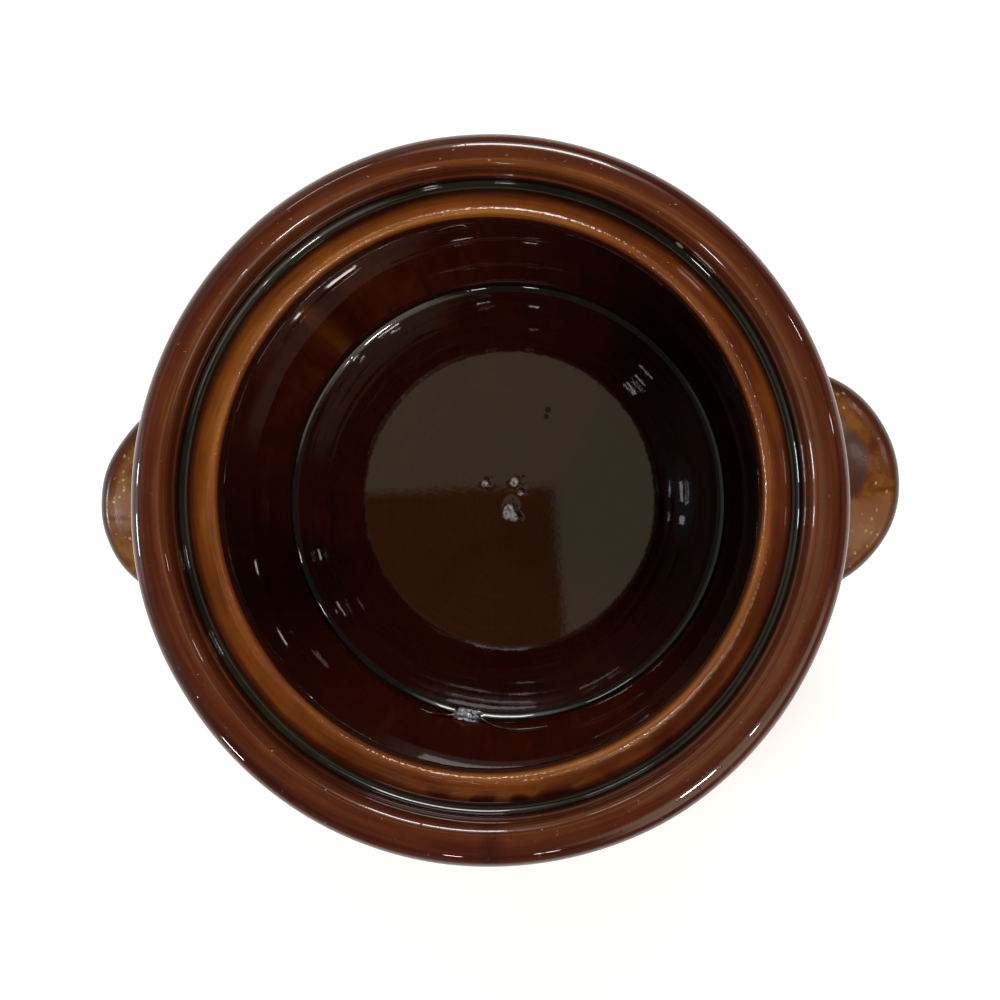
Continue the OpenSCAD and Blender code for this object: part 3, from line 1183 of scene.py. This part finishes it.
# %% Dress the pieces
DRESSED = (
    (body, "pot_body", "body_glaze"),
    (gallery_pool, "gallery_glaze_pool", "pooled_glaze"),
    (floor_pool, "floor_glaze_pool", "pooled_glaze"),
    (left_bead, "left_slip_joint", "slip_glaze"),
    (right_bead, "right_slip_joint", "slip_glaze"),
    (left_lug, "left_lug", "lug_glaze"),
    (right_lug, "right_lug", "lug_glaze"),
)
for piece, node, slot in DRESSED:
    piece.data.materials.clear()
    piece.data.materials.append(FINISHES[slot])
    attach(piece, "root")
    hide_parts(node)
    print(piece.name, "stands for", node)

# %% [markdown]
# ## Light and floor
#
# Gloss shows what is around it, so the light is built like a room: dim walls, a lighter ceiling, and a few
# bright windows and small lamps whose places set where the highlights lie. Each is an area lamp, listed with
# its azimuth and elevation, its apparent width and height in degrees, its brightness and its colour. One more
# lamp lights the pot softly and doesn't show in the glaze.

# %% Windows
MOUTH = Vector((0, 0, 124)) * MM
WINDOW_DISTANCE = 1.3


def way_to(azimuth, elevation):
    """Unit direction; angles are in degrees, azimuth from +X towards +Y."""
    angle, lift = math.radians(azimuth), math.radians(elevation)
    return Vector((math.cos(angle) * math.cos(lift), math.sin(angle) * math.cos(lift), math.sin(lift)))


def window(name, azimuth, elevation, width, height, brightness, colour):
    """An area lamp in one direction from the mouth."""
    way = way_to(azimuth, elevation)
    lamp = bpy.data.lights.new(name, "AREA")
    lamp.shape = "RECTANGLE"
    lamp.size = 2 * WINDOW_DISTANCE * math.tan(math.radians(width / 2)) * math.cos(math.radians(elevation))
    lamp.size_y = 2 * WINDOW_DISTANCE * math.tan(math.radians(height / 2))
    lamp.energy = brightness * math.pi * lamp.size * lamp.size_y
    lamp.color = colour
    holder = bpy.data.objects.new(name, lamp)
    bpy.context.scene.collection.objects.link(holder)
    holder.location = MOUTH + way * WINDOW_DISTANCE
    holder.rotation_euler = way.to_track_quat("Z", "Y").to_euler()
    holder.visible_camera = False
    return holder


WARM = (1.0, 0.96, 0.91)
COOL = (0.80, 0.92, 1.0)
LAMPS = (
    ("window_back", 84, 48, 25, 9, 20, WARM),
    ("window_front_right", -58, 58, 7, 2.6, 130, WARM), ("lamp_front_right", -46, 58, 2, 1.5, 120, WARM),
    ("lamp_front_a", -86, 44, 4, 1, 80, WARM), ("lamp_front_b", -101, 40, 3, 1, 80, WARM),
    ("lamp_front_left", -141, 25, 5, 3, 80, WARM),
    ("window_left_a", 173, 22, 3, 4, 60, COOL), ("window_left_b", -178, 22, 6, 4, 60, COOL),
    ("lamp_right_a", 29, 45, 4, 1, 80, WARM), ("lamp_right_b", 12, 43, 3, 1, 80, WARM),
    ("lamp_back_left", 118, 44, 14, 2, 15, WARM),
)
for lamp_values in LAMPS:
    window(*lamp_values)
soft_light = window("soft_light", -40, 62, 60, 40, 0.85, (0.99, 0.97, 0.95))
soft_light.visible_glossy = False
print(len(LAMPS), "lamps that show in the glaze")

# %% [markdown]
# The rest of the room is a world of soft steps: dim walls with a pale stretch on the left and another at the
# front right, a soft glow around the three largest lights, and a ceiling that is paler towards the back and
# right. The flat floor of the pot mirrors that ceiling.

# %% Room
GLOWS = (
    (84, 48, 0.950, 0.998, (2.3, 2.4, 2.5, 1)), (-58, 58, 0.960, 0.999, (1.6, 1.45, 1.2, 1)),
    (179, 22, 0.965, 0.999, (1.3, 1.55, 1.8, 1)),
)
WALL_DIM, WALL_LEFT, WALL_RIGHT = (0.15, 0.125, 0.10, 1), (0.50, 0.47, 0.40, 1), (2.0, 1.75, 1.3, 1)
CEILING_DIM, CEILING_PALE = (0.30, 0.13, 0.045, 1), (0.70, 0.58, 0.37, 1)
HORIZON_DIM, HORIZON_PALE = (0.30, 0.29, 0.28, 1), (0.95, 0.94, 0.92, 1)
UP, DOWN = (0, 0, 1), (0, 0, -1)

world = bpy.data.worlds.new("room")
bpy.context.scene.world = world
world.use_nodes = True
room = Nodes(world.node_tree)
look = room.node("ShaderNodeTexCoord").outputs["Generated"]


def soft_step(lean, low, high):
    return room.fit(lean, low, high, interpolation_type="SMOOTHSTEP")


def towards(way, low, high):
    """0 to 1 as the look turns towards a direction."""
    return soft_step(room.vector("DOT_PRODUCT", look, way), low, high)


def beside(heading, low, high):
    """0 to 1 as the look's heading comes nearer to one, whatever its height; low and high in degrees."""
    flat = room.vector("NORMALIZE", room.vector("MULTIPLY", look, (1, 1, 0)))
    lean = room.vector("DOT_PRODUCT", flat, way_to(heading, 0))
    return soft_step(lean, math.cos(math.radians(low)), math.cos(math.radians(high)))


back_or_right = room.math("MAXIMUM", towards((0, 1, 0), -0.002, 0.012), towards((1, 0, 0), 0.030, 0.044))
ceiling = room.mix(back_or_right, CEILING_DIM, CEILING_PALE)
pale_left = room.math("MULTIPLY", beside(152, 66, 48), towards(DOWN, -0.86, -0.74))
walls = room.mix(pale_left, WALL_DIM, WALL_LEFT)
for heading, height, wide, near, glow in GLOWS:
    walls = room.mix(towards(way_to(heading, height), wide, near), walls, glow)
pale_height = room.math("MULTIPLY", towards(UP, 0.42, 0.52), towards(DOWN, -0.82, -0.74))
walls = room.mix(room.math("MULTIPLY", beside(-46, 34, 20), pale_height), walls, WALL_RIGHT)
upper = room.mix(towards(UP, 0.964, 0.982), walls, ceiling)
horizon = room.mix(towards((-0.99, 0.12, 0), 0.2, 0.8), HORIZON_DIM, HORIZON_PALE)
whole = room.mix(towards(UP, 0.05, 0.20), horizon, upper)
room.feed(room.tree.nodes["Background"].inputs["Color"], whole)
print("room of", len(room.tree.nodes), "nodes")

# %% [markdown]
# The floor is white paper. What the camera and mirrors see of it is lifted a little, so that it reads as white
# and still takes the pot's shadow.

# %% Floor
FLOOR_LIFT = 0.40
FLOOR_REACH = 3.0
bpy.ops.object.select_all(action="DESELECT")
bpy.ops.mesh.primitive_circle_add(vertices=96, radius=FLOOR_REACH, fill_type="NGON", location=(0, 0, 0))
floor = bpy.context.object
floor.name = "floor"
pale = Finish("pale_floor")
light = pale.node("ShaderNodeLightPath").outputs
mirrored = pale.math("MAXIMUM", light["Is Glossy Ray"], light["Is Transmission Ray"])
seen = pale.math("MAXIMUM", light["Is Camera Ray"], mirrored)
pale.wear("Base Color", (0.90, 0.90, 0.90, 1))
pale.wear("Roughness", 0.9)
pale.wear("Specular IOR Level", 0.1)
pale.wear("Emission Color", (0.94, 0.97, 1, 1))
pale.wear("Emission Strength", pale.math("MULTIPLY", seen, FLOOR_LIFT))
floor.data.materials.append(pale.material)
print("floor", round(floor.dimensions.x, 1), "m across")

# %% Finish
bpy.context.scene.view_settings.view_transform = "Standard"
